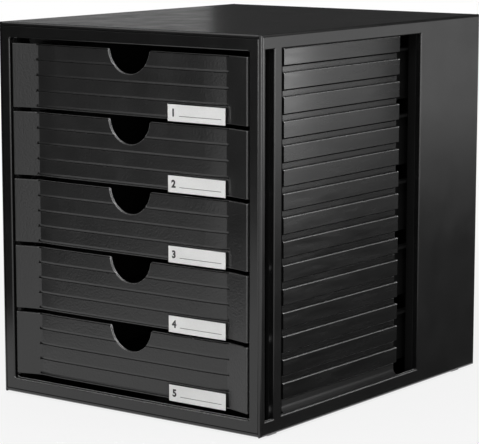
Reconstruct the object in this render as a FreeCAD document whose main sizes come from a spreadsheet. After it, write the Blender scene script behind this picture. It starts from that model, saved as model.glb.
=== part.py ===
import FreeCAD, Part
import math
import os
import Sketcher

# Desktop drawer box with a stack of pull-out trays in a closed casing.
# Millimetres. X runs to the right of someone who faces the drawers, Y to the back and Z up.
# The origin is on the table top, under the middle of the casing.

os.makedirs("parts", exist_ok=True)
doc = FreeCAD.newDocument("DrawerBox")

# Driving sizes
SIZES = [
    ("casing_width", 275.0, "over the side panels"),
    ("casing_depth", 330.0, "front face to rear face"),
    ("total_height", 320.0, "table top to top face"),
    ("foot_height", 1.2, "gap under the casing"),
    ("casing_wall", 3.0, "thickness of the outer panels"),
    ("edge_radius", 2.5, "rounding of the casing's outer edges"),
    ("seam", 0.25, "fine joint round the front frame"),
    ("side_rail", 12.2, "outer side face to drawer opening"),
    ("top_rail", 13.0, "top face to drawer opening"),
    ("bottom_rail", 12.8, "casing's underside to drawer opening"),
    ("frame_thickness", 4.9, "front frame, front to back"),
    ("frame_lip_radius", 1.2, "rounding of the opening's front edge"),
    ("frame_corner_radius", 1.5, "corners of the opening"),
    ("frame_edge_chamfer", 0.4, "outer front edge of the frame"),
    ("slot_front", 5.2, "front face to the side slot"),
    ("slot_width", 11.9, "side slot, front to back"),
    ("slot_sill", 12.4, "casing's underside to the slot"),
    ("slot_return_depth", 5.0, "inward wall behind the slot"),
    ("return_thickness", 2.0, "inward walls of the side panels"),
    ("window_front", 27.2, "front face to the side window"),
    ("window_length", 204.3, "side window, front to back"),
    ("window_sill", 13.4, "casing's underside to the window"),
    ("window_head", 11.9, "top face to slot and window"),
    ("opening_edge_radius", 1.0, "outer edges of slot and window"),
    ("tongue_width", 8.0, "ledge that carries the top and base panels"),
    ("tongue_thickness", 2.5, "thickness of that ledge"),
    ("back_recess_margin", 14.0, "rim round the field of the back panel"),
    ("back_recess_depth", 0.8, "depth of that field"),
    ("panel_seam", 0.4, "gap over the slats and under their foot in the window"),
    ("slat_front_gap", 4.6, "gap before the slats' front ends"),
    ("slats_per_drawer", 3, "slats and shelves for each drawer level"),
    ("slat_end", 200.0, "front face to the slats' rear end"),
    ("slat_recess", 1.5, "casing's side face to the slats' faces"),
    ("slat_step", 3.0, "how far the strips between slats lie back"),
    ("slat_face_height", 12.9, "height of one slat's face"),
    ("slat_undercut", 1.6, "height of the dark groove under a slat"),
    ("slat_undercut_depth", 1.2, "depth of that groove behind the strips"),
    ("slat_edge_radius", 0.7, "rounding of the slats' upper edge"),
    ("sheet_thickness", 2.0, "wall of the runner panel"),
    ("shelf_thickness", 2.0, "runner shelf"),
    ("shelf_gap", 2.0, "tray wall to the shelves' inner edge"),
    ("sill_cove_drop", 4.4, "height of the cove over the window sill"),
    ("sill_cove_radius", 5.0, "hollow of that cove"),
    ("stop_length", 4.0, "pull-out stop, front to back"),
    ("stop_drop", 4.5, "how far the stop hangs down"),
    ("drawer_count", 5, "drawers in the stack"),
    ("drawer_gap", 3.6, "between two drawer fronts"),
    ("drawer_end_gap", 4.7, "over the top drawer and under the bottom one"),
    ("drawer_side_gap", 2.3, "drawer front to the opening's sides"),
    ("front_wall", 2.2, "thickness of a drawer front"),
    ("front_end_setback", 0.6, "frame face to the front's outer ends"),
    ("front_valley_setback", 6.8, "frame face to the two valleys"),
    ("front_middle_setback", 5.5, "frame face to the flat middle"),
    ("front_end_width", 24.3, "smooth slanting end of a drawer front"),
    ("front_bow_width", 21.0, "bowed stretch beside each valley"),
    ("front_return_depth", 6.7, "side return of a drawer front"),
    ("front_edge_radius", 0.8, "rounding of a front's outer ends"),
    ("front_lip_radius", 0.6, "rounding of a front's upper, lower and notch edges"),
    ("valley_radius", 2.5, "rounding of the valleys"),
    ("grooves", 5, "fine grooves across each drawer front, the last along its upper edge"),
    ("groove_pitch", 13.0, "from groove to groove"),
    ("groove_low", 0.7, "lower edge of a front to its first groove"),
    ("groove_height", 2.4, "width of a groove at its mouth"),
    ("groove_depth", 0.8, "depth of a groove over its lower edge, from where it slants out"),
    ("groove_overrun", 3.0, "valley to the groove's end in the smooth part"),
    ("notch_half_width", 21.5, "finger notch at the top edge"),
    ("notch_depth", 20.0, "finger notch, top edge to bottom"),
    ("notch_corner_radius", 1.6, "upper corners of the notch"),
    ("tray_side_room", 19.0, "casing's side face to the tray wall"),
    ("tray_wall", 2.0, "side and rear walls of a tray"),
    ("tray_floor_rise", 3.0, "front's lower edge to the tray's underside"),
    ("tray_floor", 2.0, "thickness of the tray's floor"),
    ("tray_rear_gap", 0.5, "closed tray to the back panel"),
    ("tray_floor_radius", 1.2, "inside edge of the floor"),
    ("rim_width", 5.8, "runner rim on each tray wall"),
    ("rim_thickness", 2.0, "thickness of that rim"),
    ("runner_clearance", 0.3, "rim to the shelf under it"),
    ("rim_side_gap", 0.5, "rim to the inward wall behind the window"),
    ("drawer_travel", 245.0, "how far a drawer pulls out"),
    ("stop_clearance", 0.2, "riser to stop when pulled out"),
    ("riser_thickness", 3.0, "upright at the rear of the rim"),
    ("riser_length", 38.0, "upright, front to back"),
    ("riser_clearance", 0.6, "upright to the shelf over it"),
    ("label_inset", 24.2, "drawer front's right end to the label"),
    ("label_width", 57.6, "label card"),
    ("label_height", 13.6, "label card"),
    ("label_thickness", 0.3, "label card"),
    ("label_drop", 1.3, "card below the front's lower edge"),
    ("holder_border", 0.8, "clear border round the card"),
    ("holder_window", 0.8, "clear plate before the card"),
    ("holder_standoff", 1.9, "holder's face to the drawer front"),
    ("holder_clearance", 0.1, "play of the card in its holder"),
    ("hook_width", 28.0, "hook that clips round the lower edge"),
    ("hook_inset", 4.0, "left end of the card to the hook"),
    ("hook_thickness", 0.7, "thickness of the hook"),
    ("hook_play", 0.4, "hook to the inside of the front"),
    ("hook_reach", 2.4, "hook above the front's lower edge"),
    ("foot_length", 14.0, "foot pad, front to back"),
    ("foot_width", 10.0, "foot pad, left to right"),
    ("foot_side_inset", 3.5, "casing's side face to the pad"),
    ("front_foot_setback", 20.0, "front face to the front feet's middle"),
    ("rear_foot_setback", 27.5, "rear face to the rear feet's middle"),
    ("foot_corner_radius", 2.0, "corners of a foot pad"),
    ("peg_radius", 2.5, "peg of a foot"),
    ("peg_length", 2.6, "peg above the pad"),
    ("peg_clearance", 0.1, "peg in its hole"),
]

sheet = doc.addObject("Spreadsheet::Sheet", "Sizes")
for row, (alias, number, meaning) in enumerate(SIZES, start=1):
    sheet.set(f"A{row}", alias)
    sheet.set(f"B{row}", str(number))
    sheet.set(f"C{row}", meaning)
    sheet.setAlias(f"B{row}", alias)
doc.recompute()

# Places worked out from the sizes, as expressions for the sketches
half_width = "(Sizes.casing_width / 2)"
front_face = "(-Sizes.casing_depth / 2)"
rear_face = "(Sizes.casing_depth / 2)"
top_face = "Sizes.total_height"
underside = "Sizes.foot_height"
outer_radius = "min(Sizes.edge_radius; 0.9 * Sizes.casing_wall)"

wall_inside = f"({half_width} - Sizes.casing_wall)"
ceiling = f"({top_face} - Sizes.casing_wall)"
floor_top = f"({underside} + Sizes.casing_wall)"
back_inside = f"({rear_face} - Sizes.casing_wall)"
ledge_inside = f"({wall_inside} - Sizes.tongue_width)"
ledge_under = f"({ceiling} - Sizes.tongue_thickness)"
ledge_over = f"({floor_top} + Sizes.tongue_thickness)"

opening_half = f"({half_width} - Sizes.side_rail)"
opening_top = f"({top_face} - Sizes.top_rail)"
opening_bottom = f"({underside} + Sizes.bottom_rail)"
frame_back = f"({front_face} + Sizes.frame_thickness)"

slot_start = f"({front_face} + Sizes.slot_front)"
slot_stop = f"({slot_start} + Sizes.slot_width)"
window_start = f"({front_face} + Sizes.window_front)"
window_stop = f"({window_start} + Sizes.window_length)"
window_top = f"({top_face} - Sizes.window_head)"
window_bottom = f"({underside} + Sizes.window_sill)"
slot_bottom = f"({underside} + Sizes.slot_sill)"

front_height = (
    f"(({opening_top} - {opening_bottom} - 2 * Sizes.drawer_end_gap"
    " - (Sizes.drawer_count - 1) * Sizes.drawer_gap) / Sizes.drawer_count)"
)
drawer_pitch = f"({front_height} + Sizes.drawer_gap)"
top_level = f"({opening_top} - Sizes.drawer_end_gap - {front_height})"

slat_pitch = f"({drawer_pitch} / Sizes.slats_per_drawer)"
slat_count = "(Sizes.slats_per_drawer * Sizes.drawer_count)"
slat_top = f"({window_top} - Sizes.panel_seam)"
slat_face = f"({half_width} - Sizes.slat_recess)"
strip_face = f"({slat_face} - Sizes.slat_step)"
undercut_floor = f"({strip_face} - Sizes.slat_undercut_depth)"
sheet_inside = f"({strip_face} - Sizes.sheet_thickness)"
slat_start = f"({window_start} + Sizes.slat_front_gap)"
slat_stop = f"({front_face} + Sizes.slat_end)"
slats_foot = f"({slat_top} - {slat_count} * {slat_pitch})"
panel_front = f"({slot_stop} + Sizes.return_thickness)"

tray_half = f"({half_width} - Sizes.tray_side_room)"
tray_inside = f"({tray_half} - Sizes.tray_wall)"
tray_rear = f"({back_inside} - Sizes.tray_rear_gap)"
rim_edge = f"({tray_half} + Sizes.rim_width)"
shelf_edge = f"({tray_half} + Sizes.shelf_gap)"
shelf_top = f"({slat_top} - Sizes.slat_face_height - Sizes.slat_undercut)"
rim_under = f"({shelf_top} + Sizes.runner_clearance - {top_level})"
rim_top = f"({rim_under} + Sizes.rim_thickness)"
riser_top = (
    f"({rim_under} - Sizes.runner_clearance + {slat_pitch}"
    " - Sizes.shelf_thickness - Sizes.riser_clearance)"
)
stop_back = f"({slat_start} + Sizes.stop_length)"
riser_front = f"({stop_back} + Sizes.drawer_travel + Sizes.stop_clearance)"

front_half = f"({opening_half} - Sizes.drawer_side_gap)"
valley = f"({front_half} - Sizes.front_end_width)"
flat_half = f"({valley} - Sizes.front_bow_width)"
end_face = f"({front_face} + Sizes.front_end_setback)"
valley_face = f"({front_face} + Sizes.front_valley_setback)"
middle_face = f"({front_face} + Sizes.front_middle_setback)"
return_back = f"({end_face} + Sizes.front_return_depth)"
bow_fall = "(Sizes.front_valley_setback - Sizes.front_middle_setback)"
bow_radius = f"((Sizes.front_bow_width ^ 2 + {bow_fall} ^ 2) / (2 * {bow_fall}))"
end_fall = "(Sizes.front_valley_setback - Sizes.front_end_setback)"

card_right = f"({front_half} - Sizes.label_inset)"
card_left = f"({card_right} - Sizes.label_width)"
card_bottom = "(-Sizes.label_drop)"
card_top = "(Sizes.label_height - Sizes.label_drop)"
holder_face = f"({middle_face} - Sizes.holder_standoff)"
pocket_face = f"({holder_face} + Sizes.holder_window)"


# Two places closer than this count as one, and a cutting outline starts this far before the piece
SAME_PLACE = 0.01
RUN_IN = 1.0


def value(expression):
    """The number that an expression gives with the sheet's present sizes."""
    return float(sheet.evalExpression(expression))


def new_body(label):
    body = doc.addObject("PartDesign::Body", label)
    body.Label = label
    return body


def origin_part(body, role):
    return next(part for part in body.Origin.OriginFeatures if part.Role == role)


def new_sketch(body, name, plane, offset="0"):
    """A sketch on one of the body's origin planes, moved along the plane's normal."""
    sketch = body.newObject("Sketcher::SketchObject", name)
    sketch.AttachmentSupport = [(origin_part(body, plane), "")]
    sketch.MapMode = "FlatFace"
    sketch.setExpression("AttachmentOffset.Base.z", offset)
    return sketch


def pin(sketch, kind, geometry, point, expression):
    """Holds one coordinate of a point at the value of an expression."""
    constraint = Sketcher.Constraint(kind, -1, 1, geometry, point, value(expression))
    index = sketch.addConstraint(constraint)
    sketch.setExpression(f"Constraints[{index}]", expression)


def outline(sketch, corners, arcs=None):
    """A closed outline through corners, each given as two expressions.

    arcs maps a corner's number to (radius, side) where the stretch to the next corner is an arc:
    side 1 bulges to the left of the way there, and -1 to the right.
    """
    arcs = arcs or {}
    places = [FreeCAD.Vector(value(across), value(up), 0) for across, up in corners]
    stretches = []
    for number, start in enumerate(places):
        finish = places[(number + 1) % len(places)]
        forward = True
        if number in arcs:
            radius, side = arcs[number]
            chord = finish - start
            rise = value(radius) - math.sqrt(value(radius) ** 2 - (chord.Length / 2) ** 2)
            left = FreeCAD.Vector(-chord.y, chord.x, 0).normalize()
            middle = (start + finish) * 0.5 + left * (side * rise)
            forward = side < 0
            ends = (start, finish) if forward else (finish, start)
            piece = Part.Arc(ends[0], middle, ends[1])
        else:
            piece = Part.LineSegment(start, finish)
        geometry = sketch.addGeometry(piece, False)
        stretches.append((geometry, 1, 2) if forward else (geometry, 2, 1))
    for number, (geometry, begin, end) in enumerate(stretches):
        following = stretches[(number + 1) % len(stretches)]
        joined = Sketcher.Constraint("Coincident", geometry, end, following[0], following[1])
        sketch.addConstraint(joined)
        pin(sketch, "DistanceX", geometry, begin, corners[number][0])
        pin(sketch, "DistanceY", geometry, begin, corners[number][1])
        if number in arcs:
            radius = arcs[number][0]
            index = sketch.addConstraint(Sketcher.Constraint("Radius", geometry, value(radius)))
            sketch.setExpression(f"Constraints[{index}]", radius)


def rectangle(sketch, left, right, low, high):
    outline(sketch, [(left, low), (right, low), (right, high), (left, high)])


def circle(sketch, across, up, radius):
    centre = FreeCAD.Vector(value(across), value(up), 0)
    round_line = Part.Circle(centre, FreeCAD.Vector(0, 0, 1), value(radius))
    geometry = sketch.addGeometry(round_line, False)
    pin(sketch, "DistanceX", geometry, 3, across)
    pin(sketch, "DistanceY", geometry, 3, up)
    index = sketch.addConstraint(Sketcher.Constraint("Radius", geometry, value(radius)))
    sketch.setExpression(f"Constraints[{index}]", radius)


def extrude(kind, body, sketch, length, backwards=False):
    """A Pad or Pocket of the sketch, as long as the expression says."""
    feature = body.newObject(f"PartDesign::{kind}", f"{kind}_{sketch.Name}")
    feature.Profile = sketch
    feature.setExpression("Length", length)
    feature.Reversed = backwards
    doc.recompute()
    return feature


def pad(body, sketch, length, backwards=False):
    return extrude("Pad", body, sketch, length, backwards)


def pocket(body, sketch, length, backwards=False):
    volume = body.Shape.Volume
    feature = extrude("Pocket", body, sketch, length, backwards)
    if feature.Shape.Volume > volume - SAME_PLACE:
        raise RuntimeError(f"{sketch.Name} cuts nothing")
    return feature


def row_of(body, feature, axis, backwards, count, pitch):
    """Copies of a feature in a straight row."""
    row = body.newObject("PartDesign::LinearPattern", f"Row_{feature.Name}")
    row.Originals = [feature]
    row.Direction = (origin_part(body, axis), [""])
    row.Reversed = backwards
    row.setExpression("Occurrences", count)
    row.setExpression("Length", f"({count} - 1) * {pitch}")
    body.Tip = row
    doc.recompute()
    return row


def edges_at(feature, **fixed):
    """Names of the edges that lie wholly at the given x, y or z."""
    names = []
    for number, edge in enumerate(feature.Shape.Edges, start=1):
        box = edge.BoundBox
        spans = {"x": (box.XMin, box.XMax), "y": (box.YMin, box.YMax), "z": (box.ZMin, box.ZMax)}
        places = [(spans[axis], value(place)) for axis, place in fixed.items()]
        if all(max(abs(low - at), abs(high - at)) < SAME_PLACE for (low, high), at in places):
            names.append(f"Edge{number}")
    return names


def round_edges(body, feature, names, radius, kind="Fillet"):
    """Fillets or chamfers the named edges of a feature."""
    if not names:
        raise RuntimeError(f"{feature.Name} has no such edges to round")
    rounding = body.newObject(f"PartDesign::{kind}", f"{kind}_{feature.Name}")
    rounding.Base = (feature, names)
    rounding.setExpression("Radius" if kind == "Fillet" else "Size", radius)
    doc.recompute()
    return rounding


def mirrored(side, expression):
    """An X place on the right (side 1) or the left (side -1) of the box."""
    return expression if side > 0 else f"(-{expression})"


# Top and base panels: flat plates between the side panels, flush with their outer faces
def make_top_panel():
    body = new_body("top_panel")
    sketch = new_sketch(body, "top_plan", "XY_Plane", ceiling)
    rectangle(sketch, f"(-{wall_inside})", wall_inside, front_face, rear_face)
    plate = pad(body, sketch, "Sizes.casing_wall")
    outer = edges_at(plate, z=top_face, y=front_face) + edges_at(plate, z=top_face, y=rear_face)
    round_edges(body, plate, outer, outer_radius)
    return body


def foot_places():
    """The middle of each foot: name, X and Y expressions."""
    across = f"({half_width} - Sizes.foot_side_inset - Sizes.foot_width / 2)"
    rows = {
        "front": f"({front_face} + Sizes.front_foot_setback)",
        "rear": f"({rear_face} - Sizes.rear_foot_setback)",
    }
    sides = {"left": -1, "right": 1}
    return [
        (f"foot_{row}_{side}", mirrored(sign, across), along)
        for row, along in rows.items()
        for side, sign in sides.items()
    ]


def make_base_panel():
    body = new_body("base_panel")
    sketch = new_sketch(body, "base_plan", "XY_Plane", underside)
    rectangle(sketch, f"(-{wall_inside})", wall_inside, front_face, rear_face)
    plate = pad(body, sketch, "Sizes.casing_wall")
    outer = edges_at(plate, z=underside, y=front_face) + edges_at(plate, z=underside, y=rear_face)
    round_edges(body, plate, outer, outer_radius)
    holes = new_sketch(body, "peg_holes", "XY_Plane", underside)
    for name, across, along in foot_places():
        circle(holes, across, along, "Sizes.peg_radius + Sizes.peg_clearance")
    pocket(body, holes, "Sizes.casing_wall", backwards=True)
    return body


def make_foot(name, across, along):
    """A soft pad with a peg that presses into the base panel."""
    body = new_body(name)
    plan = new_sketch(body, f"{name}_plan", "XY_Plane")
    rectangle(
        plan,
        f"({across} - Sizes.foot_width / 2)",
        f"({across} + Sizes.foot_width / 2)",
        f"({along} - Sizes.foot_length / 2)",
        f"({along} + Sizes.foot_length / 2)",
    )
    block = pad(body, plan, "Sizes.foot_height")
    uprights = [
        f"Edge{number}"
        for number, edge in enumerate(block.Shape.Edges, start=1)
        if edge.BoundBox.ZLength > SAME_PLACE
    ]
    round_edges(body, block, uprights, "Sizes.foot_corner_radius")
    peg = new_sketch(body, f"{name}_peg", "XY_Plane", underside)
    circle(peg, across, along, "Sizes.peg_radius")
    pad(body, peg, "Sizes.peg_length")
    return body


# Side panels: outer wall with a tall slot and window, inward walls and two ledges
def make_side_panel(name, side):
    body = new_body(name)
    inner = mirrored(side, wall_inside)
    face = new_sketch(body, f"{name}_face", "YZ_Plane", inner)
    rectangle(face, front_face, rear_face, underside, top_face)
    wall = pad(body, face, "Sizes.casing_wall", backwards=side < 0)
    outer = edges_at(wall, x=mirrored(side, half_width))
    round_edges(body, wall, outer, outer_radius)

    holes = new_sketch(body, f"{name}_openings", "YZ_Plane", mirrored(side, half_width))
    rectangle(holes, slot_start, slot_stop, slot_bottom, window_top)
    rectangle(holes, window_start, window_stop, window_bottom, window_top)
    cut = pocket(body, holes, "Sizes.casing_wall", backwards=side < 0)
    rims = [
        edge
        for edge in edges_at(cut, x=mirrored(side, half_width))
        if is_opening_edge(cut.Shape.getElement(edge))
    ]
    round_edges(body, cut, rims, "Sizes.opening_edge_radius")

    returns = new_sketch(body, f"{name}_returns", "XY_Plane", floor_top)
    walls = [
        (slot_stop, "Sizes.slot_return_depth"),
        (window_stop, f"({wall_inside} - {rim_edge} - Sizes.rim_side_gap)"),
    ]
    for start, depth in walls:
        inward = mirrored(side, f"({wall_inside} - {depth})")
        rectangle(returns, inward, inner, start, f"({start} + Sizes.return_thickness)")
    pad(body, returns, f"({ceiling} - {floor_top})")

    ledges = new_sketch(body, f"{name}_ledges", "XZ_Plane", f"(-{frame_back})")
    ledge = mirrored(side, ledge_inside)
    rectangle(ledges, ledge, inner, ledge_under, ceiling)
    rectangle(ledges, ledge, inner, floor_top, ledge_over)
    pad(body, ledges, f"({back_inside} - {frame_back})", backwards=True)
    return body


def is_opening_edge(edge):
    """True for an edge of the slot or window, which lies well inside the panel's outline."""
    box = edge.BoundBox
    margin = value(f"({outer_radius} + Sizes.slot_front) / 2")
    along = box.YMin > value(front_face) + margin and box.YMax < value(rear_face) - margin
    return along and box.ZMin > value(underside) + margin and box.ZMax < value(top_face) - margin


# Front frame: the ring round the drawers, set into the mouth of the casing
def make_front_frame():
    body = new_body("front_frame")
    sketch = new_sketch(body, "frame_face", "XZ_Plane", f"(-{front_face})")
    side = f"({wall_inside} - Sizes.seam)"
    rectangle(sketch, f"(-{side})", side, f"({floor_top} + Sizes.seam)", f"({ceiling} - Sizes.seam)")
    rectangle(sketch, f"(-{opening_half})", opening_half, opening_bottom, opening_top)
    ring = pad(body, sketch, "Sizes.frame_thickness", backwards=True)
    corners = []
    for across in (f"(-{opening_half})", opening_half):
        for up in (opening_bottom, opening_top):
            corners += edges_at(ring, x=across, z=up)
    ring = round_edges(body, ring, corners, "Sizes.frame_corner_radius")
    lip = [name for name in edges_at(ring, y=front_face) if not is_outline_edge(ring, name)]
    ring = round_edges(body, ring, lip, "Sizes.frame_lip_radius")
    rim = [name for name in edges_at(ring, y=front_face) if is_outline_edge(ring, name)]
    round_edges(body, ring, rim, "Sizes.frame_edge_chamfer", kind="Chamfer")
    return body


def is_outline_edge(ring, name):
    """True for an edge on the front frame's outer outline."""
    box = ring.Shape.getElement(name).BoundBox
    side = value(f"{wall_inside} - Sizes.seam") - SAME_PLACE
    low = value(f"{floor_top} + Sizes.seam") + SAME_PLACE
    high = value(f"{ceiling} - Sizes.seam") - SAME_PLACE
    return box.XMin > side or box.XMax < -side or box.ZMin > high or box.ZMax < low


# Back panel: closes the casing between the side, top and base panels
def make_back_panel():
    body = new_body("back_panel")
    sketch = new_sketch(body, "back_face", "XZ_Plane", f"(-{rear_face})")
    rectangle(sketch, f"(-{wall_inside})", wall_inside, floor_top, ceiling)
    pad(body, sketch, "Sizes.casing_wall")
    field = new_sketch(body, "back_field", "XZ_Plane", f"(-{rear_face})")
    side = f"({wall_inside} - Sizes.back_recess_margin)"
    low = f"({floor_top} + Sizes.back_recess_margin)"
    high = f"({ceiling} - Sizes.back_recess_margin)"
    rectangle(field, f"(-{side})", side, low, high)
    pocket(body, field, "Sizes.back_recess_depth", backwards=True)
    return body


# Runner panels: ribbed inserts that fill the windows and carry the trays on their shelves
def make_runner_panel(name, side):
    body = new_body(name)

    def at(expression):
        return mirrored(side, expression)

    def way(turn):
        return turn * side

    long_pad = f"({slat_stop} - {slat_start})"
    start_plane = f"(-{slat_start})"
    low = f"({slat_top} - {slat_pitch})"
    face_low = f"({slat_top} - Sizes.slat_face_height)"
    shelf_low = f"({shelf_top} - Sizes.shelf_thickness)"
    back_high = f"({slat_top} - Sizes.sheet_thickness)"
    back_low = f"({face_low} + Sizes.sheet_thickness)"
    face_back = f"({slat_face} - Sizes.sheet_thickness)"
    slat = new_sketch(body, f"{name}_slat", "XZ_Plane", start_plane)
    outline(
        slat,
        [
            (at(sheet_inside), slat_top),
            (at(f"({slat_face} - Sizes.slat_edge_radius)"), slat_top),
            (at(slat_face), f"({slat_top} - Sizes.slat_edge_radius)"),
            (at(slat_face), face_low),
            (at(undercut_floor), face_low),
            (at(undercut_floor), shelf_top),
            (at(strip_face), shelf_top),
            (at(strip_face), low),
            (at(sheet_inside), low),
            (at(sheet_inside), shelf_low),
            (at(shelf_edge), shelf_low),
            (at(shelf_edge), shelf_top),
            (at(sheet_inside), shelf_top),
            (at(sheet_inside), back_low),
            (at(face_back), back_low),
            (at(face_back), back_high),
            (at(sheet_inside), back_high),
        ],
        {1: ("Sizes.slat_edge_radius", way(1))},
    )
    slats = pad(body, slat, long_pad, backwards=True)
    row_of(body, slats, "Z_Axis", True, slat_count, slat_pitch)

    # The head carries one more shelf, which holds down the top drawer's risers
    head = new_sketch(body, f"{name}_head", "XZ_Plane", start_plane)
    head_shelf = f"({shelf_top} + {slat_pitch})"
    head_shelf_low = f"({head_shelf} - Sizes.shelf_thickness)"
    outline(
        head,
        [
            (at(sheet_inside), slat_top),
            (at(wall_inside), slat_top),
            (at(wall_inside), ledge_under),
            (at(sheet_inside), ledge_under),
            (at(sheet_inside), head_shelf),
            (at(shelf_edge), head_shelf),
            (at(shelf_edge), head_shelf_low),
            (at(sheet_inside), head_shelf_low),
        ],
    )
    pad(body, head, long_pad, backwards=True)

    # The foot swells out over the window sill in a cove
    foot = new_sketch(body, f"{name}_foot", "XZ_Plane", start_plane)
    sill_top = f"({window_bottom} + Sizes.panel_seam)"
    outline(
        foot,
        [
            (at(sheet_inside), slats_foot),
            (at(strip_face), slats_foot),
            (at(slat_face), f"({slats_foot} - Sizes.sill_cove_drop)"),
            (at(slat_face), sill_top),
            (at(wall_inside), sill_top),
            (at(wall_inside), ledge_over),
            (at(sheet_inside), ledge_over),
        ],
        {1: ("Sizes.sill_cove_radius", way(-1))},
    )
    pad(body, foot, long_pad, backwards=True)

    # A flat flange laps behind the casing between slot and window
    flange = new_sketch(body, f"{name}_flange", "XY_Plane", ledge_over)
    sides = sorted((at(sheet_inside), at(wall_inside)), key=value)
    rectangle(flange, sides[0], sides[1], panel_front, slat_start)
    pad(body, flange, f"({ledge_under} - {ledge_over})")

    # Pull-out stops under the shelf over each drawer's own shelf
    stop = new_sketch(body, f"{name}_stop", "XZ_Plane", start_plane)
    sides = sorted((at(shelf_edge), at(rim_edge)), key=value)
    rectangle(stop, sides[0], sides[1], f"({head_shelf_low} - Sizes.stop_drop)", head_shelf_low)
    stops = pad(body, stop, "Sizes.stop_length", backwards=True)
    row_of(body, stops, "Z_Axis", True, "Sizes.drawer_count", drawer_pitch)
    return body


def front_path(wall, ends):
    """The drawer front's plan as (X, Y) expressions from left to right.

    wall moves the line back from the outer face, and ends is the X of its outer points.
    """
    slope = f"({end_fall} / Sizes.front_end_width)"
    end = f"({end_face} + ({front_half} - {ends}) * {slope} + {wall})"
    points = [
        (ends, end),
        (valley, f"({valley_face} + {wall})"),
        (flat_half, f"({middle_face} + {wall})"),
    ]
    left = [(f"(-{across})", along) for across, along in points]
    return left + list(reversed(points))


# Drawer trays: the profiled front, the tray behind it and the runner rims, in one moulding
def make_tray(number, level):
    name = f"drawer_tray_{number}"
    body = new_body(name)
    body.setExpression("Placement.Base.z", level)
    bows = {2: (bow_radius, -1), 4: (bow_radius, -1)}

    shell = new_sketch(body, f"{name}_front", "XY_Plane")
    outer = front_path("0", front_half)
    inner_half = f"({front_half} - Sizes.front_wall)"
    inner = list(reversed(front_path("Sizes.front_wall", inner_half)))
    corners = [(f"(-{front_half})", return_back)] + outer
    corners += [(front_half, return_back), (inner_half, return_back)]
    corners += inner + [(f"(-{inner_half})", return_back)]
    outline(shell, corners, bows)
    feature = pad(body, shell, front_height)

    # Ends and valleys are rounded before the long edges, so that those run smoothly
    for across in (front_half, f"(-{front_half})"):
        ends = edges_at(feature, x=across, y=end_face)
        feature = round_edges(body, feature, ends, "Sizes.front_edge_radius")
    for across in (valley, f"(-{valley})"):
        bottoms = edges_at(feature, x=across, y=valley_face)
        feature = round_edges(body, feature, bottoms, "Sizes.valley_radius")

    tray = new_sketch(body, f"{name}_tray", "XY_Plane", "Sizes.tray_floor_rise")
    buried = front_path("Sizes.front_wall / 2", tray_half)
    outline(tray, buried + [(tray_half, tray_rear), (f"(-{tray_half})", tray_rear)])
    pad(body, tray, f"({rim_top} - Sizes.tray_floor_rise)")
    hollow = new_sketch(body, f"{name}_hollow", "XY_Plane", rim_top)
    inside = front_path("Sizes.front_wall", tray_inside)
    rear = f"({tray_rear} - Sizes.tray_wall)"
    outline(hollow, inside + [(tray_inside, rear), (f"(-{tray_inside})", rear)])
    depth = f"({rim_top} - Sizes.tray_floor_rise - Sizes.tray_floor)"
    feature = pocket(body, hollow, depth)
    floor = edges_at(feature, z="Sizes.tray_floor_rise + Sizes.tray_floor")
    round_edges(body, feature, floor, "Sizes.tray_floor_radius")

    rims = new_sketch(body, f"{name}_rims", "XY_Plane", rim_under)
    rectangle(rims, tray_half, rim_edge, return_back, tray_rear)
    rectangle(rims, f"(-{rim_edge})", f"(-{tray_half})", return_back, tray_rear)
    pad(body, rims, "Sizes.rim_thickness")
    risers = new_sketch(body, f"{name}_risers", "XY_Plane", rim_top)
    riser_edge = f"({rim_edge} - Sizes.riser_clearance)"
    riser_in = f"({riser_edge} - Sizes.riser_thickness)"
    riser_back = f"({riser_front} + Sizes.riser_length)"
    rectangle(risers, riser_in, riser_edge, riser_front, riser_back)
    rectangle(risers, f"(-{riser_edge})", f"(-{riser_in})", riser_front, riser_back)
    pad(body, risers, f"({riser_top} - {rim_top})")

    notch = new_sketch(body, f"{name}_notch", "XZ_Plane", f"(-{front_face})")
    radius = "((Sizes.notch_half_width ^ 2 + Sizes.notch_depth ^ 2) / (2 * Sizes.notch_depth))"
    middle = f"({front_height} - Sizes.notch_depth)"
    corners = [
        ("(-Sizes.notch_half_width)", front_height),
        ("0", middle),
        ("Sizes.notch_half_width", front_height),
    ]
    outline(notch, corners, {0: (radius, -1), 1: (radius, -1)})
    feature = pocket(body, notch, "Sizes.front_valley_setback + Sizes.front_wall")
    for across in ("Sizes.notch_half_width", "(-Sizes.notch_half_width)"):
        corner = edges_at(feature, x=across, z=front_height)
        feature = round_edges(body, feature, corner, "Sizes.notch_corner_radius")
    round_edges(body, feature, front_lip_edges(feature), "Sizes.front_lip_radius")
    cut_grooves(body, name)
    return body


def cut_grooves(body, name):
    """Fine grooves across the front: a ledge below, from which the wall slants out again."""
    plan = new_sketch(body, f"{name}_grooves", "XY_Plane", "Sizes.groove_low")
    before = f"({end_face} - {RUN_IN} - Sizes.groove_depth)"
    end = f"({valley} + Sizes.groove_overrun)"
    bottom = f"({valley_face} + Sizes.groove_depth)"
    middle = front_path("Sizes.groove_depth", front_half)[1:5]
    corners = [(f"(-{end})", before), (f"(-{end})", bottom)] + middle + [(end, bottom), (end, before)]
    outline(plan, corners, {2: (bow_radius, -1), 4: (bow_radius, -1)})
    groove = pocket(body, plan, "Sizes.groove_height", backwards=True)
    groove.setExpression("TaperAngle", "-atan(Sizes.groove_depth / Sizes.groove_height)")
    doc.recompute()
    row_of(body, groove, "Z_Axis", False, "Sizes.grooves", "Sizes.groove_pitch")


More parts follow.
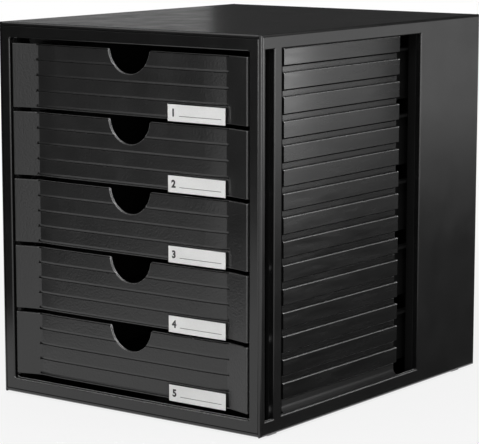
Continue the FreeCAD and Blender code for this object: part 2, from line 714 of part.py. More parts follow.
def outer_face_at(across):
    """Y of the drawer front's outer face at a distance from its middle, before rounding."""
    across = abs(across)
    if across <= value(flat_half):
        return value(middle_face)
    if across <= value(valley):
        radius = value(bow_radius)
        beyond = across - value(flat_half)
        return value(middle_face) + radius - math.sqrt(radius**2 - beyond**2)
    slope = value(f"{end_fall} / Sizes.front_end_width")
    return value(valley_face) - (across - value(valley)) * slope


def front_lip_edges(feature):
    """The edges round a drawer front's outer face: top, bottom and notch."""
    names = []
    for number, edge in enumerate(feature.Shape.Edges, start=1):
        middle = edge.valueAt((edge.FirstParameter + edge.LastParameter) / 2)
        box = edge.BoundBox
        on_face = abs(middle.y - outer_face_at(middle.x)) < value("Sizes.front_lip_radius")
        wide = box.XLength > value("Sizes.front_lip_radius")
        level = box.ZLength < SAME_PLACE
        at_rim = middle.z < SAME_PLACE or middle.z > value(front_height) - SAME_PLACE
        in_notch = abs(middle.x) <= value("Sizes.notch_half_width") and not level
        if on_face and wide and (level and at_rim or in_notch):
            names.append(f"Edge{number}")
    return names


# Label holders: a clear plate with a pocket for the card, hooked round the front's lower edge
def make_label_holder(number, level):
    name = f"label_holder_{number}"
    body = new_body(name)
    body.setExpression("Placement.Base.z", level)
    left = f"({card_left} - Sizes.holder_border)"
    right = f"({card_right} + Sizes.holder_border)"
    low = f"({card_bottom} - Sizes.holder_border)"
    high = f"({card_top} + Sizes.holder_border)"
    plate = new_sketch(body, f"{name}_plate", "XZ_Plane", f"(-{middle_face})")
    rectangle(plate, left, right, low, high)
    block = pad(body, plate, "Sizes.holder_standoff")
    uprights = edges_at(block, x=left, z=low) + edges_at(block, x=right, z=low)
    uprights += edges_at(block, x=left, z=high) + edges_at(block, x=right, z=high)
    block = round_edges(body, block, uprights, "Sizes.holder_border")
    room = new_sketch(body, f"{name}_pocket", "XZ_Plane", f"(-{middle_face})")
    play = "Sizes.holder_clearance"
    rectangle(
        room,
        f"({card_left} - {play})",
        f"({card_right} + {play})",
        f"({card_bottom} - {play})",
        f"({card_top} + {play})",
    )
    pocket(body, room, "Sizes.holder_standoff - Sizes.holder_window", backwards=True)

    hook_start = f"({card_left} + Sizes.hook_inset)"
    hook = new_sketch(body, f"{name}_hook", "YZ_Plane", hook_start)
    inside = f"({middle_face} + Sizes.front_wall + Sizes.hook_play)"
    outside = f"({inside} + Sizes.hook_thickness)"
    lip_top = f"({card_bottom} - {play})"
    lip_under = f"({lip_top} - Sizes.hook_thickness)"
    buried = f"({middle_face} - Sizes.holder_border / 2)"
    outline(
        hook,
        [
            (buried, lip_under),
            (outside, lip_under),
            (outside, "Sizes.hook_reach"),
            (inside, "Sizes.hook_reach"),
            (inside, lip_top),
            (buried, lip_top),
        ],
    )
    pad(body, hook, "Sizes.hook_width")
    return body


def make_label_card(number, level):
    name = f"label_card_{number}"
    body = new_body(name)
    body.setExpression("Placement.Base.z", level)
    seat = f"({pocket_face} + Sizes.holder_clearance + Sizes.label_thickness)"
    face = new_sketch(body, f"{name}_face", "XZ_Plane", f"(-{seat})")
    rectangle(face, card_left, card_right, card_bottom, card_top)
    pad(body, face, "Sizes.label_thickness")
    return body


for maker in (make_top_panel, make_base_panel, make_front_frame, make_back_panel):
    maker()
for foot, across, along in foot_places():
    make_foot(foot, across, along)
for word, side in (("left", -1), ("right", 1)):
    make_side_panel(f"{word}_side_panel", side)
    make_runner_panel(f"{word}_runner_panel", side)
for number in range(1, int(value("Sizes.drawer_count")) + 1):
    level = f"({top_level} - {number - 1} * {drawer_pitch})"
    make_tray(number, level)
    make_label_holder(number, level)
    make_label_card(number, level)
doc.recompute()

# Every object must have built, and every piece must be one sound solid
for thing in doc.Objects:
    if "Invalid" in thing.State or "Error" in thing.State:
        raise RuntimeError(f"{thing.Name} failed: {thing.State}")
for piece in doc.findObjects("PartDesign::Body"):
    shape = piece.Shape
    if shape.isNull() or not shape.isValid() or len(shape.Solids) != 1:
        raise RuntimeError(f"{piece.Label} is not one sound solid")
    box = shape.BoundBox
    print(
        f"{piece.Label:22s} X {box.XMin:8.2f} {box.XMax:8.2f}  Y {box.YMin:8.2f} {box.YMax:8.2f}"
        f"  Z {box.ZMin:7.2f} {box.ZMax:7.2f}  {shape.Volume / 1000:8.2f} cm3"
    )
    shape.exportStep(f"parts/{piece.Label}.step")
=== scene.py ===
# %% [markdown]
# # A desktop drawer organizer
#
# The object is a box for office paper: a black moulded casing with five low drawers. The frame is
# the measured model of it, with one object for each moulded part, already in its place and in
# metres. This lesson keeps those shapes and gives each part the finish of its real plastic, paper
# or rubber. It adds the ink on the labels and sets up a small studio around the box.

# %% Load the measured parts
import math

import bmesh
import bpy
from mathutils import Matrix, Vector


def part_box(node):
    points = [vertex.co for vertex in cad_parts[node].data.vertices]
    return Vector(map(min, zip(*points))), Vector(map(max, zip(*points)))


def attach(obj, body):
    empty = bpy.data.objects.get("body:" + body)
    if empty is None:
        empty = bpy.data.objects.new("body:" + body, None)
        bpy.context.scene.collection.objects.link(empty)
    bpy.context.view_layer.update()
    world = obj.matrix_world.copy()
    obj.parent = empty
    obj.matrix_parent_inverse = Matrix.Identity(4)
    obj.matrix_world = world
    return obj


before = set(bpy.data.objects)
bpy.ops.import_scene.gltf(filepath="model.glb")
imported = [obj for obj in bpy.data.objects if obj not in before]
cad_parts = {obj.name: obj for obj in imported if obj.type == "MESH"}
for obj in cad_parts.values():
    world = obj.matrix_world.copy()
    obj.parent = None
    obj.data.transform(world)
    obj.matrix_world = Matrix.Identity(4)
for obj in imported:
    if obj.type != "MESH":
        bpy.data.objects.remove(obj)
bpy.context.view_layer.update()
DRAWERS = range(1, 6)

# %% [markdown]
# ## The camera
#
# The box is seen from the front and the right, a little from above. An upright camera was fitted to
# seven corners of the casing in the photograph, and it meets them to a few pixels. It has a long
# lens far away, so the box keeps almost parallel edges. A shifted lens would meet the corners more
# closely, but the shift would carry over into every other view, so there is none.

# %% Camera
CAMERA_PLACE = (1.1027, -1.4908, 0.4363)
CAMERA_YAW = 36.654
CAMERA_PITCH = 9.058
LENS_MM = 160.44
SENSOR_MM = 36.0

lens = bpy.data.cameras.new("camera")
lens.lens = LENS_MM
lens.sensor_width = SENSOR_MM
camera = bpy.data.objects.new("camera", lens)
camera.location = CAMERA_PLACE
camera.rotation_euler = (math.radians(90 - CAMERA_PITCH), 0, math.radians(CAMERA_YAW))
bpy.context.collection.objects.link(camera)
bpy.context.scene.camera = camera
bpy.context.scene.view_settings.view_transform = "Standard"
print("camera is", round(camera.location.length, 2), "m from the middle of the box's foot")

# %% [markdown]
# ## Shader nodes in a few words
#
# Every finish below is a small tree of nodes. Writing each node with its place, its links and its
# values would take a page, so one helper adds a node, fills its sockets and returns it. A value
# that is a socket is linked, and any other value is typed in. The other helpers are short names for
# the nodes that come up again and again: a sum, a change of range, a mix and a noise.

# %% Helpers for shader nodes
def add_node(tree, kind, inputs=(), **settings):
    made = tree.nodes.new(kind)
    for name, value in settings.items():
        setattr(made, name, value)
    for name, value in dict(inputs).items():
        if isinstance(value, bpy.types.NodeSocket):
            tree.links.new(value, made.inputs[name])
        else:
            made.inputs[name].default_value = value
    return made


def calc(tree, operation, first, second=0.0, clamp=False):
    return add_node(tree, "ShaderNodeMath", {0: first, 1: second}, operation=operation,
                    use_clamp=clamp).outputs[0]


def change_range(tree, value, old, new, steps="LINEAR"):
    return add_node(tree, "ShaderNodeMapRange",
                    {"Value": value, "From Min": old[0], "From Max": old[1],
                     "To Min": new[0], "To Max": new[1]},
                    interpolation_type=steps).outputs["Result"]


ALL = (0.0, 1.0)

# %% Helpers for colours and noise
def grey(level):
    return (level, level, level, 1.0)


def mix_colour(tree, share, under, over):
    return add_node(tree, "ShaderNodeMix", {"Factor": share, 6: under, 7: over},
                    data_type="RGBA").outputs[2]


def two_tones(tree, share, dark, pale):
    ramp = add_node(tree, "ShaderNodeValToRGB", {"Fac": share})
    ramp.color_ramp.elements[0].color = dark
    ramp.color_ramp.elements[1].color = pale
    return ramp.outputs["Color"]


def part_place(tree):
    return add_node(tree, "ShaderNodeTexCoord").outputs["Object"]


def noise(tree, place, scale, detail=2.0):
    return add_node(tree, "ShaderNodeTexNoise",
                    {"Vector": place, "Scale": scale, "Detail": detail}).outputs["Fac"]


def bump(tree, height, distance, under=None, invert=False):
    sockets = {"Height": height, "Distance": distance}
    if under is not None:
        sockets["Normal"] = under
    return add_node(tree, "ShaderNodeBump", sockets, invert=invert).outputs["Normal"]


def new_finish(name):
    finish = bpy.data.materials.new(name)
    finish.use_nodes = True
    return finish, finish.node_tree, finish.node_tree.nodes["Principled BSDF"]


def tell(finish):
    print(finish.name, "has", len(finish.node_tree.nodes), "nodes")


# %% [markdown]
# ## Background and floor
#
# The box stands on a pale floor in front of white. The white is only for the eye of the camera and
# for what shows in gloss and clear plastic: those rays see a background of strength 1. All other
# rays get a dimmer sky, so the white adds no light to the box. A ray that a matt surface has
# scattered once counts among the others, also where it then passes clear plastic. The floor does
# the same with part of its colour and keeps the soft shadow of the box in the rest.

# %% Rays that see the background
BEFORE_FIRST_SCATTER = 0.5


def seen_by_eye(tree):
    path = add_node(tree, "ShaderNodeLightPath").outputs
    direct = calc(tree, "MAXIMUM", path["Is Camera Ray"], path["Is Glossy Ray"])
    clear = calc(tree, "MAXIMUM", direct, path["Is Transmission Ray"])
    unscattered = calc(tree, "LESS_THAN", path["Diffuse Depth"], BEFORE_FIRST_SCATTER)
    return calc(tree, "MULTIPLY", clear, unscattered)


# %% World
SKY_FILL = 0.55
WHITE = 1.0

world = bpy.data.worlds.new("studio white")
world.use_nodes = True
bpy.context.scene.world = world
sky = world.node_tree
strength = change_range(sky, seen_by_eye(sky), ALL, (SKY_FILL, WHITE))
sky.nodes["Background"].inputs["Color"].default_value = grey(WHITE)
sky.links.new(strength, sky.nodes["Background"].inputs["Strength"])
tell(world)

# %% Floor paint
FLOOR_COLOUR = 0.85
FLOOR_CLOUDS = 0.01
CLOUD_SCALE = 3.0
FLOOR_WHITE = 0.8
FADE = (0.35, 1.3)

floor_paint = bpy.data.materials.new("floor_paint")
floor_paint.use_nodes = True
paint = floor_paint.node_tree
paint.nodes.clear()
cloud = add_node(paint, "ShaderNodeTexNoise", {"Scale": CLOUD_SCALE}).outputs["Fac"]
tone = change_range(paint, cloud, ALL, (FLOOR_COLOUR - FLOOR_CLOUDS, FLOOR_COLOUR + FLOOR_CLOUDS))
matte = add_node(paint, "ShaderNodeBsdfDiffuse", {"Color": tone}).outputs[0]
white = add_node(paint, "ShaderNodeEmission", {"Color": grey(WHITE), "Strength": 1.0}).outputs[0]
distance = add_node(paint, "ShaderNodeVectorMath", {0: part_place(paint)}, operation="LENGTH")
fade = change_range(paint, distance.outputs["Value"], FADE, (FLOOR_WHITE, WHITE), "SMOOTHSTEP")
share = calc(paint, "MULTIPLY", seen_by_eye(paint), fade)
both = add_node(paint, "ShaderNodeMixShader", {0: share, 1: matte, 2: white}).outputs[0]
add_node(paint, "ShaderNodeOutputMaterial", {"Surface": both})
tell(floor_paint)

# %% Floor
FLOOR_RADIUS = 14.0
FLOOR_CORNERS = 96

disc = bmesh.new()
bmesh.ops.create_circle(disc, cap_ends=True, radius=FLOOR_RADIUS, segments=FLOOR_CORNERS)
floor_mesh = bpy.data.meshes.new("floor")
disc.to_mesh(floor_mesh)
disc.free()
floor_mesh.materials.append(floor_paint)
floor = bpy.data.objects.new("floor", floor_mesh)
bpy.context.collection.objects.link(floor)
print("floor is", 2 * FLOOR_RADIUS, "m across")

# %% [markdown]
# ## Lamps
#
# Black plastic shows almost no colour of its own. What the eye reads as its shape is the softboxes
# that mirror in it. A large softbox over the camera lights the paper labels and the pale lines
# painted on the edges. A broad, low one behind on the right mirrors in the upper part of the side.
# A narrow one stands low at the right front and draws the light lines down the upright edges. It is
# there for these lines alone, so matt surfaces don't see it.

# %% Softboxes
KEY = {"place": (0.7, -1.7, 1.7), "target": (0.0, 0.0, 0.16), "size": (0.9, 0.7), "watts": 19.0}
SIDE = {"place": (1.6, 0.8, 0.32), "target": (0.14, -0.05, 0.25), "size": (0.9, 0.5), "watts": 6.0}
STRIP = {"place": (1.6, -1.25, 0.27), "target": (0.14, -0.165, 0.2), "size": (0.45, 0.5),
         "watts": 5.0}


def softbox(name, place, target, size, watts):
    lamp = bpy.data.lights.new(name, "AREA")
    lamp.shape = "RECTANGLE"
    lamp.size, lamp.size_y = size
    lamp.energy = watts
    box = bpy.data.objects.new(name, lamp)
    box.location = place
    box.rotation_euler = (Vector(target) - Vector(place)).to_track_quat("-Z", "Y").to_euler()
    box.visible_camera = False
    bpy.context.collection.objects.link(box)
    print(name, "brightness", round(watts / (math.pi * size[0] * size[1]), 2))
    return box


softbox("key_softbox", **KEY)
softbox("side_softbox", **SIDE)
strip = softbox("strip_softbox", **STRIP)
strip.visible_diffuse = False

# %% [markdown]
# ## Black and grey cards
#
# Black plastic gets its contrast from cards: where a dark card mirrors, the surface turns dark, and
# a grey one leaves a soft sheen. A row of cards stands behind the box. They grade its top from grey
# on the left to dark on the right, and keep the side even. One card stands in front on the left for
# the upper part of the front. Three lie on the floor, for the front and for the lower part of the
# side. Mirrored rays alone see them, so they throw no shadow and hide nothing.

# %% Felt on the cards
FELT_SCALE = 40.0
FELT_SPREAD = (0.8, 1.2)


def felt(name, tone):
    finish, tree, shader = new_finish(name)
    fibre = add_node(tree, "ShaderNodeTexNoise", {"Scale": FELT_SCALE}).outputs["Fac"]
    colour = change_range(tree, fibre, ALL, [share * tone for share in FELT_SPREAD])
    tree.links.new(colour, shader.inputs["Base Color"])
    shader.inputs["Roughness"].default_value = 1.0
    tell(finish)
    return finish


BLACK_FELT = felt("black_felt", 0.01)
DARK_FELT = felt("dark_felt", 0.05)
MIDDLE_FELT = felt("middle_felt", 0.3)
GREY_FELT = felt("grey_felt", 0.5)

# %% Helpers for cards
CARD_LIFT = 0.0008


def card(name, finish, corners):
    mesh = bpy.data.meshes.new(name)
    mesh.from_pydata(corners, [], [range(len(corners))])
    mesh.materials.append(finish)
    sheet = bpy.data.objects.new(name, mesh)
    sheet.visible_camera = False
    sheet.visible_diffuse = False
    sheet.visible_shadow = False
    sheet.visible_transmission = False
    bpy.context.collection.objects.link(sheet)


def upright_card(name, finish, left, right, low, high):
    card(name, finish, [(*left, low), (*right, low), (*right, high), (*left, high)])


def floor_card(name, finish, corners):
    card(name, finish, [(*corner, CARD_LIFT) for corner in corners])


# %% Cards behind and in front
BEHIND_FAR_LEFT = (-2.8, 0.9)
BEHIND_LEFT = (-1.22, 1.545)
BEHIND_RIGHT = (1.2, 2.3)
BEHIND_FAR_RIGHT = (2.9, 1.0)
FRONT_NEAR = (-0.78, -1.9)
FRONT_FAR = (-1.85, -0.17)
GREY_CARD_TOP = 0.72

upright_card("card_behind", DARK_FELT, BEHIND_LEFT, BEHIND_RIGHT, 0.0, 2.0)
upright_card("card_behind_left", GREY_FELT, BEHIND_FAR_LEFT, BEHIND_LEFT, 0.0, GREY_CARD_TOP)
upright_card("card_behind_high", BLACK_FELT, BEHIND_FAR_LEFT, BEHIND_LEFT, GREY_CARD_TOP, 2.5)
upright_card("card_behind_right", MIDDLE_FELT, BEHIND_RIGHT, BEHIND_FAR_RIGHT, 0.5, 1.6)
upright_card("card_left", DARK_FELT, FRONT_NEAR, FRONT_FAR, 0.0, 1.6)

# %% Cards on the floor
LEFT_SHEET = [(-0.30, -0.165), (-0.36, -0.6), (-0.46, -1.17), (-0.68, -2.1), (-3.0, -2.1),
              (-3.0, -0.165)]
RIGHT_SHEET = [(0.14, -0.3), (0.85, -0.3), (0.85, 1.0), (0.14, 1.0)]
BACK_SHEET = [(0.85, -0.3), (1.15, -0.3), (1.15, 1.2), (0.95, 2.6), (0.14, 2.6), (0.14, 1.0),
              (0.85, 1.0)]

floor_card("card_on_floor_left", BLACK_FELT, LEFT_SHEET)
floor_card("card_on_floor_right", DARK_FELT, RIGHT_SHEET)
floor_card("card_on_floor_back", MIDDLE_FELT, BACK_SHEET)
print("cards:", sum(thing.name.startswith("card_") for thing in bpy.data.meshes))

# %% [markdown]
# ## Masks on a moulded part
#
# A finish that depends on where it is on the part needs masks: 1 where it holds, 0 elsewhere. They
# could be painted by hand, but positions in metres are exact, and they stay on the part when a
# drawer moves. The first mask is a box in space. It serves for the inner walls, the mouth of the
# frame, the sills, the slats, the coves, the fronts and the notches.

# %% A box in space
SHARP = 0.000001


def inside_box(tree, place, middle, half, fade=SHARP):
    """1 in a box, 0 outside it."""
    centred = add_node(tree, "ShaderNodeVectorMath", {0: place, 1: middle}, operation="SUBTRACT")
    folded = add_node(tree, "ShaderNodeVectorMath", {0: centred.outputs[0]}, operation="ABSOLUTE")
    inward = add_node(tree, "ShaderNodeVectorMath", {0: half, 1: folded.outputs[0]},
                      operation="SUBTRACT")
    depths = add_node(tree, "ShaderNodeSeparateXYZ", {"Vector": inward.outputs[0]}).outputs
    least = calc(tree, "MINIMUM", calc(tree, "MINIMUM", depths["X"], depths["Y"]), depths["Z"])
    return change_range(tree, least, (0.0, fade), ALL)


# %% [markdown]
# ## Crevices
#
# Grooves and gaps of the real box look black, because little light gets in and hardly any of it
# comes out to the eye. That shade is painted into their colour here: a painted shade. A thin film
# of mould release and dust makes them matt as well. Ambient occlusion finds them: it measures how
# much of the open half above a point is taken up by the part itself. The casing has wide crevices.
# The fronts have fine grooves, so there it looks less far and starts sooner.

# %% A helper for crevices
WIDE_CREVICE = {"reach": 0.006, "limits": (0.68, 0.4)}
FINE_GROOVE = {"reach": 0.0018, "limits": (0.88, 0.6)}
RAYS = 6


def crevices(tree, reach, limits):
    """1 deep in a groove or gap of the part itself, 0 on its open faces."""
    openness = add_node(tree, "ShaderNodeAmbientOcclusion", {"Distance": reach}, samples=RAYS,
                        only_local=True)
    return change_range(tree, openness.outputs["AO"], limits, ALL, "SMOOTHSTEP")


# %% [markdown]
# ## Painted edge highlights
#
# A thin pale line is painted into the colour along sharp edges of the black plastic: a painted
# highlight where a rounded edge would catch the light. The same node finds such edges when it looks
# into the plastic: rays that start at a sharp edge soon leave it again. Only edges that look up get
# it, and on the fronts those that look to the sides too.

# %% A helper for painted edge highlights
EDGE_REACH = 0.0015
EDGE_LIMITS = (0.9, 0.5)
EXPOSED_LIMITS = (0.05, 0.4)
END_SLOPE = 0.3


def facing(tree):
    """How far a face looks to either side, and how far it looks up."""
    normal = add_node(tree, "ShaderNodeNewGeometry").outputs["Normal"]
    looks = add_node(tree, "ShaderNodeSeparateXYZ", {"Vector": normal}).outputs
    return calc(tree, "ABSOLUTE", looks["X"]), looks["Z"]


# Mask for the painted highlight on sharp edges.
def worn_edges(tree, sideways=False):
    """1 on a sharp edge that looks up, or sideways too."""
    depth = add_node(tree, "ShaderNodeAmbientOcclusion", {"Distance": EDGE_REACH}, samples=RAYS,
                     inside=True, only_local=True)
    edge = change_range(tree, depth.outputs["AO"], EDGE_LIMITS, ALL, "SMOOTHSTEP")
    across, up = facing(tree)
    if sideways:
        up = calc(tree, "MAXIMUM", calc(tree, "SUBTRACT", across, END_SLOPE), up)
    return calc(tree, "MULTIPLY", edge, change_range(tree, up, EXPOSED_LIMITS, ALL))


# %% [markdown]
# ## Black moulded plastic
#
# Casing, drawers and side inserts are injection moulded in black polystyrene with a satin surface.
# Real mouldings are never perfectly even: wide soft waves bend the reflections, a fine grain from
# the steel mould breaks them up, and the gloss changes a little from place to place. The helper
# builds these three from noise at three scales, and it paints shade into the crevices' colour. It
# leaves three things to each plastic: repaint paints highlights and shade into the colour in
# places, dull names the places that are matt, and bend adds a slow curve.

# %% A helper for moulded plastic
PATCHES = {"scale": 38.0, "detail": 5.0}
PATCH_TONES = (0.8, 1.25)
PATCH_LIMITS = (0.3, 0.7)
# Painted shade: the colour of crevices, as a share of the plastic's own colour.
CREVICE_SHADE_TONE = 0.1
WAVES = {"scale": 7.0, "detail": 1.0}
GRAINS = {"scale": 1400.0, "detail": 3.0}
LEATHER_SCALE = 600.0
REFLECTANCE = (0.5, 0.1)
POLYSTYRENE_IOR = 1.57


def moulded(name, level, gloss, grain_height, wave_height, streak=(1.0, 1.0, 1.0),
            crevice=WIDE_CREVICE, repaint=None, dull=None, bend=None, leather_height=0.0):
    finish, tree, shader = new_finish(name)
    place = part_place(tree)
    along = add_node(tree, "ShaderNodeMapping", {"Vector": place, "Scale": streak}).outputs[0]

    patches = noise(tree, along, **PATCHES)
    base = two_tones(tree, patches, *(grey(share * level) for share in PATCH_TONES))
    painted_shade_and_matt = crevices(tree, **crevice)
    # Painted shade: the crevices are darkened in the colour.
    base = mix_colour(tree, painted_shade_and_matt, base, grey(CREVICE_SHADE_TONE * level))
    if repaint:
        base = repaint(tree, place, base)
    tree.links.new(base, shader.inputs["Base Color"])

    for matt_place in dull(tree, place) if dull else ():
        painted_shade_and_matt = calc(tree, "MAXIMUM", painted_shade_and_matt, matt_place)
    gloss_and_highlight = change_range(tree, patches, PATCH_LIMITS, gloss)
    roughness = add_node(tree, "ShaderNodeMix", {"Factor": painted_shade_and_matt, "A": gloss_and_highlight, "B": 1.0})
    tree.links.new(roughness.outputs[0], shader.inputs["Roughness"])
    reflectance = change_range(tree, painted_shade_and_matt, ALL, REFLECTANCE)
    tree.links.new(reflectance, shader.inputs["Specular IOR Level"])
    shader.inputs["IOR"].default_value = POLYSTYRENE_IOR

    slow = bend(tree, place) if bend else None
    normal = bump(tree, noise(tree, along, **WAVES), wave_height, slow)
    if leather_height:
        normal = bump(tree, noise(tree, place, LEATHER_SCALE), leather_height, normal)
    normal = bump(tree, noise(tree, place, **GRAINS), grain_height, normal)
    tree.links.new(normal, shader.inputs["Normal"])
    tell(finish)
    return finish


# %% [markdown]
# ## The casing
#
# Outside, the casing is satin. Deeper than the windows and behind the frame nothing polishes it, so
# its inner walls are matt, and so is the mouth of the frame round the drawers. Along the lower
# edges of the sills of windows and slots a thin pale line is painted into the colour: a painted
# highlight.

# %% Casing plastic
INNER_WALLS = {"middle": (0.0, 0.0, 0.1606), "half": (0.1326, 0.1585, 0.1555), "fade": 0.0005}
MOUTH = {"middle": (0.0, 0.0, 0.1605), "half": (0.1252, 0.1633, 0.1468)}
SILLS = {"middle": (0.0, 0.0, 0.0145), "half": (0.15, 0.17, 0.0025)}
# Painted highlight: the pale colour along the sills.
SILL_HIGHLIGHT_TONE = 0.95


def casing_inside(tree, place):
    return [inside_box(tree, place, **INNER_WALLS), inside_box(tree, place, **MOUTH)]


# Paints a highlight into the colour along the sills' edges.
def rubbed_sills(tree, place, base):
    gloss_and_highlight = calc(tree, "MULTIPLY", worn_edges(tree), inside_box(tree, place, **SILLS))
    return mix_colour(tree, gloss_and_highlight, base, grey(SILL_HIGHLIGHT_TONE))


casing_plastic = moulded("casing_plastic", level=0.005, gloss=(0.2, 0.26), grain_height=0.000002,
                         wave_height=0.0004, repaint=rubbed_sills, dull=casing_inside)

# %% [markdown]
# ## The side inserts
#
# The slats of the inserts are a little glossier in streaks that run along them, the way the melt
# flowed in the mould. They also bow outward by a hair between their ends, so a reflection fades
# towards the rear. A pale line is painted along their top edges: a painted highlight. The cove
# under the lowest slat is softer, and the flange before and behind the slats is as matt as the
# inner walls.

# %% Insert plastic
SLATS = {"middle": (0.0, -0.0491, 0.0), "half": (1.0, 0.084, 1.0)}
COVES = {"middle": (0.0, 0.0, 0.012), "half": (0.15, 0.17, 0.0125)}
COVE_DULL = 0.3
# Painted highlight: the pale colour along the slats' top edges.
SLAT_HIGHLIGHT_TONE = 0.75
SLAT_MIDDLE = -0.05
SLAT_BOW = 0.6
SLAT_STREAK = (1.0, 0.6, 5.0)


def insert_dull(tree, place):
    flange = calc(tree, "SUBTRACT", 1.0, inside_box(tree, place, **SLATS))
    cove = calc(tree, "MULTIPLY", inside_box(tree, place, **COVES), COVE_DULL)
    return [*casing_inside(tree, place), flange, cove]


# Paints a highlight into the colour on the slats' top edges, but not in the cove.
def rubbed_slats(tree, place, base):
    cove = inside_box(tree, place, **COVES)
    gloss_and_highlight = calc(tree, "SUBTRACT", worn_edges(tree), cove, clamp=True)
    return mix_colour(tree, gloss_and_highlight, base, grey(SLAT_HIGHLIGHT_TONE))


def slat_bow(tree, place):
    length = add_node(tree, "ShaderNodeSeparateXYZ", {"Vector": place}).outputs["Y"]
    squared = calc(tree, "POWER", calc(tree, "SUBTRACT", length, SLAT_MIDDLE), 2.0)
    return bump(tree, squared, SLAT_BOW, invert=True)


runner_plastic = moulded("runner_plastic", level=0.002, gloss=(0.2, 0.3), grain_height=0.000003,
                         wave_height=0.0003, streak=SLAT_STREAK, repaint=rubbed_slats,
                         dull=insert_dull, bend=slat_bow)

# %% [markdown]
# ## The drawers
#
# The fronts have a coarser, leathery grain and fine grooves, and a pale line is painted along their
# edges: a painted highlight. It is strongest on the wall of the finger notch, and the upright ends
# of a front get a faint painted highlight too. Behind its front a drawer is plainer: the tray is
# half matt, and its outer sides and rims, which slide on the shelves, are almost fully matt and
# painted darker, a painted shade.

# %% Where things are on a drawer
FRONT_BACK = -0.1565
END_BACK = -0.1622
SIDE_START = 0.1176
FRONT_INNER = {"middle": (0.0, 0.0, 0.16), "half": (0.1223, 0.17, 0.16)}
NOTCHES = {"middle": (0.0, -0.16, 0.16), "half": (0.026, 0.01, 0.16)}
UPRIGHT_LIMITS = (0.2, 0.5)


def tray_places(tree, place):
    """The tray behind the front, and its outer sides with what lies behind the front's ends."""
    parts = add_node(tree, "ShaderNodeSeparateXYZ", {"Vector": place}).outputs
    tray = calc(tree, "GREATER_THAN", parts["Y"], FRONT_BACK)
    outer = calc(tree, "GREATER_THAN", calc(tree, "ABSOLUTE", parts["X"]), SIDE_START)
    side = calc(tree, "MULTIPLY", outer, calc(tree, "GREATER_THAN", parts["Y"], END_BACK))
    return tray, side


def notch_walls(tree, place):
    upright = change_range(tree, facing(tree)[0], UPRIGHT_LIMITS, ALL)
    return calc(tree, "MULTIPLY", inside_box(tree, place, **NOTCHES), upright)


# %% Drawer plastic
TRAY_DULL = 0.5
SIDE_DULL = 0.9
# Painted shade: the darker colour of the tray's outer sides and rims.
SIDE_SHADE_TONE = 0.003
# Painted highlights: the colours of the front's edges and notch walls, and how much of it the
# upright ends get.
FRONT_HIGHLIGHT_TONE = 0.2
NOTCH_HIGHLIGHT_TONE = 0.95
END_HIGHLIGHT = 0.15


def drawer_dull(tree, place):
    tray, side = tray_places(tree, place)
    return [calc(tree, "MULTIPLY", tray, TRAY_DULL), calc(tree, "MULTIPLY", side, SIDE_DULL)]


# Paints shade into the outer sides, and highlights into the front's edges, notch walls and ends.
def rubbed_front(tree, place, base):
    tray, side = tray_places(tree, place)
    base = mix_colour(tree, side, base, grey(SIDE_SHADE_TONE))
    behind = calc(tree, "MAXIMUM", side, tray)
    gloss_and_highlight = calc(tree, "SUBTRACT", worn_edges(tree, sideways=True), behind, clamp=True)
    ends = change_range(tree, inside_box(tree, place, **FRONT_INNER), ALL, (END_HIGHLIGHT, 0.0))
    ends = calc(tree, "SUBTRACT", ends, behind, clamp=True)
    tone = change_range(tree, notch_walls(tree, place), ALL, (FRONT_HIGHLIGHT_TONE, NOTCH_HIGHLIGHT_TONE))
    return mix_colour(tree, calc(tree, "MAXIMUM", gloss_and_highlight, ends), base, tone)


drawer_plastic = moulded("drawer_plastic", level=0.012, gloss=(0.28, 0.36), grain_height=0.000004,
                         wave_height=0.0003, crevice=FINE_GROOVE, repaint=rubbed_front,
                         dull=drawer_dull, leather_height=0.00022)

# %% [markdown]
# ## Clear label holders
#
# The label holders are clear polystyrene, thin and smooth. A shader with full transmission and the
# real index would bend what is behind it, as a thick block does. These walls are too thin for that,
# so the index is close to that of air. Noise in the roughness gives the faint haze of handling.

# %% Clear holder
THIN_WALL_IOR = 1.05
HAZE = {"scale": 220.0, "detail": 4.0}
HAZE_GLOSS = (0.02, 0.08)

clear_holder, clear, clear_shader = new_finish("clear_holder")
clear_shader.inputs["Base Color"].default_value = grey(WHITE)
clear_shader.inputs["Transmission Weight"].default_value = 1.0
clear_shader.inputs["IOR"].default_value = THIN_WALL_IOR
haze = change_range(clear, noise(clear, part_place(clear), **HAZE), ALL, HAZE_GLOSS)
clear.links.new(haze, clear_shader.inputs["Roughness"])
tell(clear_holder)

# %% [markdown]
# ## Paper cards
#
# The cards are white paper. One fine noise makes both the faint fibres in the colour and the tiny
# bumps that go with them, so the two fit together.

# %% Paper
FIBRES = {"scale": 900.0, "detail": 6.0}
FIBRE_HEIGHT = 0.00001
PAPER_DARK = (0.78, 0.78, 0.77, 1.0)
PAPER_PALE = (0.86, 0.86, 0.85, 1.0)

paper, paper_tree, paper_shader = new_finish("label_paper")
fibres = noise(paper_tree, part_place(paper_tree), **FIBRES)
paper_colour = two_tones(paper_tree, fibres, PAPER_DARK, PAPER_PALE)
paper_tree.links.new(paper_colour, paper_shader.inputs["Base Color"])
paper_tree.links.new(bump(paper_tree, fibres, FIBRE_HEIGHT), paper_shader.inputs["Normal"])
paper_shader.inputs["Roughness"].default_value = 0.75
tell(paper)

# %% [markdown]
# ## Rubber feet
#
# The feet are dark soft rubber, matt and a little dusty. Rubber is moulded too, so the helper for
# moulded plastic serves it as well, with little gloss, a coarse grain and no waves.

# %% Rubber
foot_rubber = moulded("foot_rubber", level=0.02, gloss=(0.6, 0.8), grain_height=0.00003,
                      wave_height=0.0)

# %% [markdown]
# ## Finishes on the measured parts
#
# Each part of the frame already has a material slot. The first letters or the last word of its name
# say what it is made of, and all that is left is the casing.

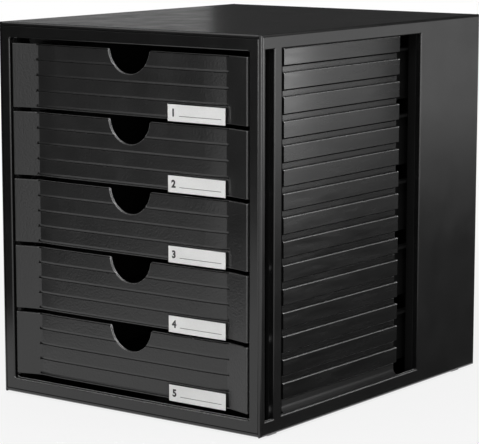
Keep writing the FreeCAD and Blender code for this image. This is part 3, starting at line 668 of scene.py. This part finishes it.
# %% Paint the parts
def finish_of(name):
    if name.startswith("drawer_tray"):
        return drawer_plastic
    if name.startswith("label_holder"):
        return clear_holder
    if name.startswith("label_card"):
        return paper
    if name.startswith("foot"):
        return foot_rubber
    return runner_plastic if name.endswith("runner_panel") else casing_plastic


for name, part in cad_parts.items():
    for slot in part.material_slots:
        slot.material = finish_of(name)
print("painted", len(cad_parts), "parts")

# %% [markdown]
# ## Ink on the labels
#
# Each card says which drawer it is on: a bold number and a thin ruled line to write on. Ink has
# next to no thickness, but a flat face exactly on the card would flicker. So number and line are
# one thin mesh that stands a few hundredths of a millimetre proud of the paper, inside the gap to
# the clear plate.

# %% Ink
INK_SCALE = 1500.0
INK_TONES = (0.015, 0.05)

ink, ink_tree, ink_shader = new_finish("ink")
ink_spots = noise(ink_tree, part_place(ink_tree), INK_SCALE)
ink_colour = two_tones(ink_tree, ink_spots, *map(grey, INK_TONES))
ink_tree.links.new(ink_colour, ink_shader.inputs["Base Color"])
ink_shader.inputs["Roughness"].default_value = 0.6
tell(ink)

# %% The number as a mesh
INK_HEIGHT = 0.00003
NUMBER_SIZE = 0.0082
NUMBER_BOLD = 0.0004


def number_mesh(text):
    curve = bpy.data.curves.new("number", "FONT")
    curve.body = text
    curve.size = NUMBER_SIZE
    curve.offset = NUMBER_BOLD
    curve.extrude = INK_HEIGHT / 2
    holder = bpy.data.objects.new("number", curve)
    bpy.context.collection.objects.link(holder)
    shaped = holder.evaluated_get(bpy.context.evaluated_depsgraph_get())
    mesh = bpy.data.meshes.new_from_object(shaped)
    bpy.data.objects.remove(holder)
    bpy.data.curves.remove(curve)
    return mesh


# %% Number and line on a card
NUMBER_LEFT = 0.0035
BASE_LINE = 0.0042
LINE_LEFT = 0.0115
LINE_RIGHT = 0.0040
LINE_THICK = 0.0004


def printed_shape(number, low, high):
    shape = bmesh.new()
    shape.from_mesh(number_mesh(str(number)))
    for vert in shape.verts:
        x, y, z = vert.co
        vert.co = (low[0] + NUMBER_LEFT + x, low[1] - INK_HEIGHT / 2 - z, low[2] + BASE_LINE + y)
    left, right = low[0] + LINE_LEFT, high[0] - LINE_RIGHT
    for vert in bmesh.ops.create_cube(shape, size=1.0)["verts"]:
        x, y, z = vert.co
        vert.co = ((left + right) / 2 + x * (right - left), low[1] - INK_HEIGHT * (0.5 + y),
                   low[2] + BASE_LINE + (0.5 + z) * LINE_THICK)
    bmesh.ops.recalc_face_normals(shape, faces=shape.faces)
    return shape


# %% Print the cards
def print_card(number):
    shape = printed_shape(number, *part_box(f"label_card_{number}"))
    mesh = bpy.data.meshes.new(f"card_print_{number}")
    shape.to_mesh(mesh)
    shape.free()
    mesh.materials.append(ink)
    piece = bpy.data.objects.new(f"card_print_{number}", mesh)
    bpy.context.collection.objects.link(piece)
    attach(piece, f"drawer_{number}")
    return piece


for number in DRAWERS:
    printed = print_card(number)
    print(printed.name, len(printed.data.polygons), "faces")
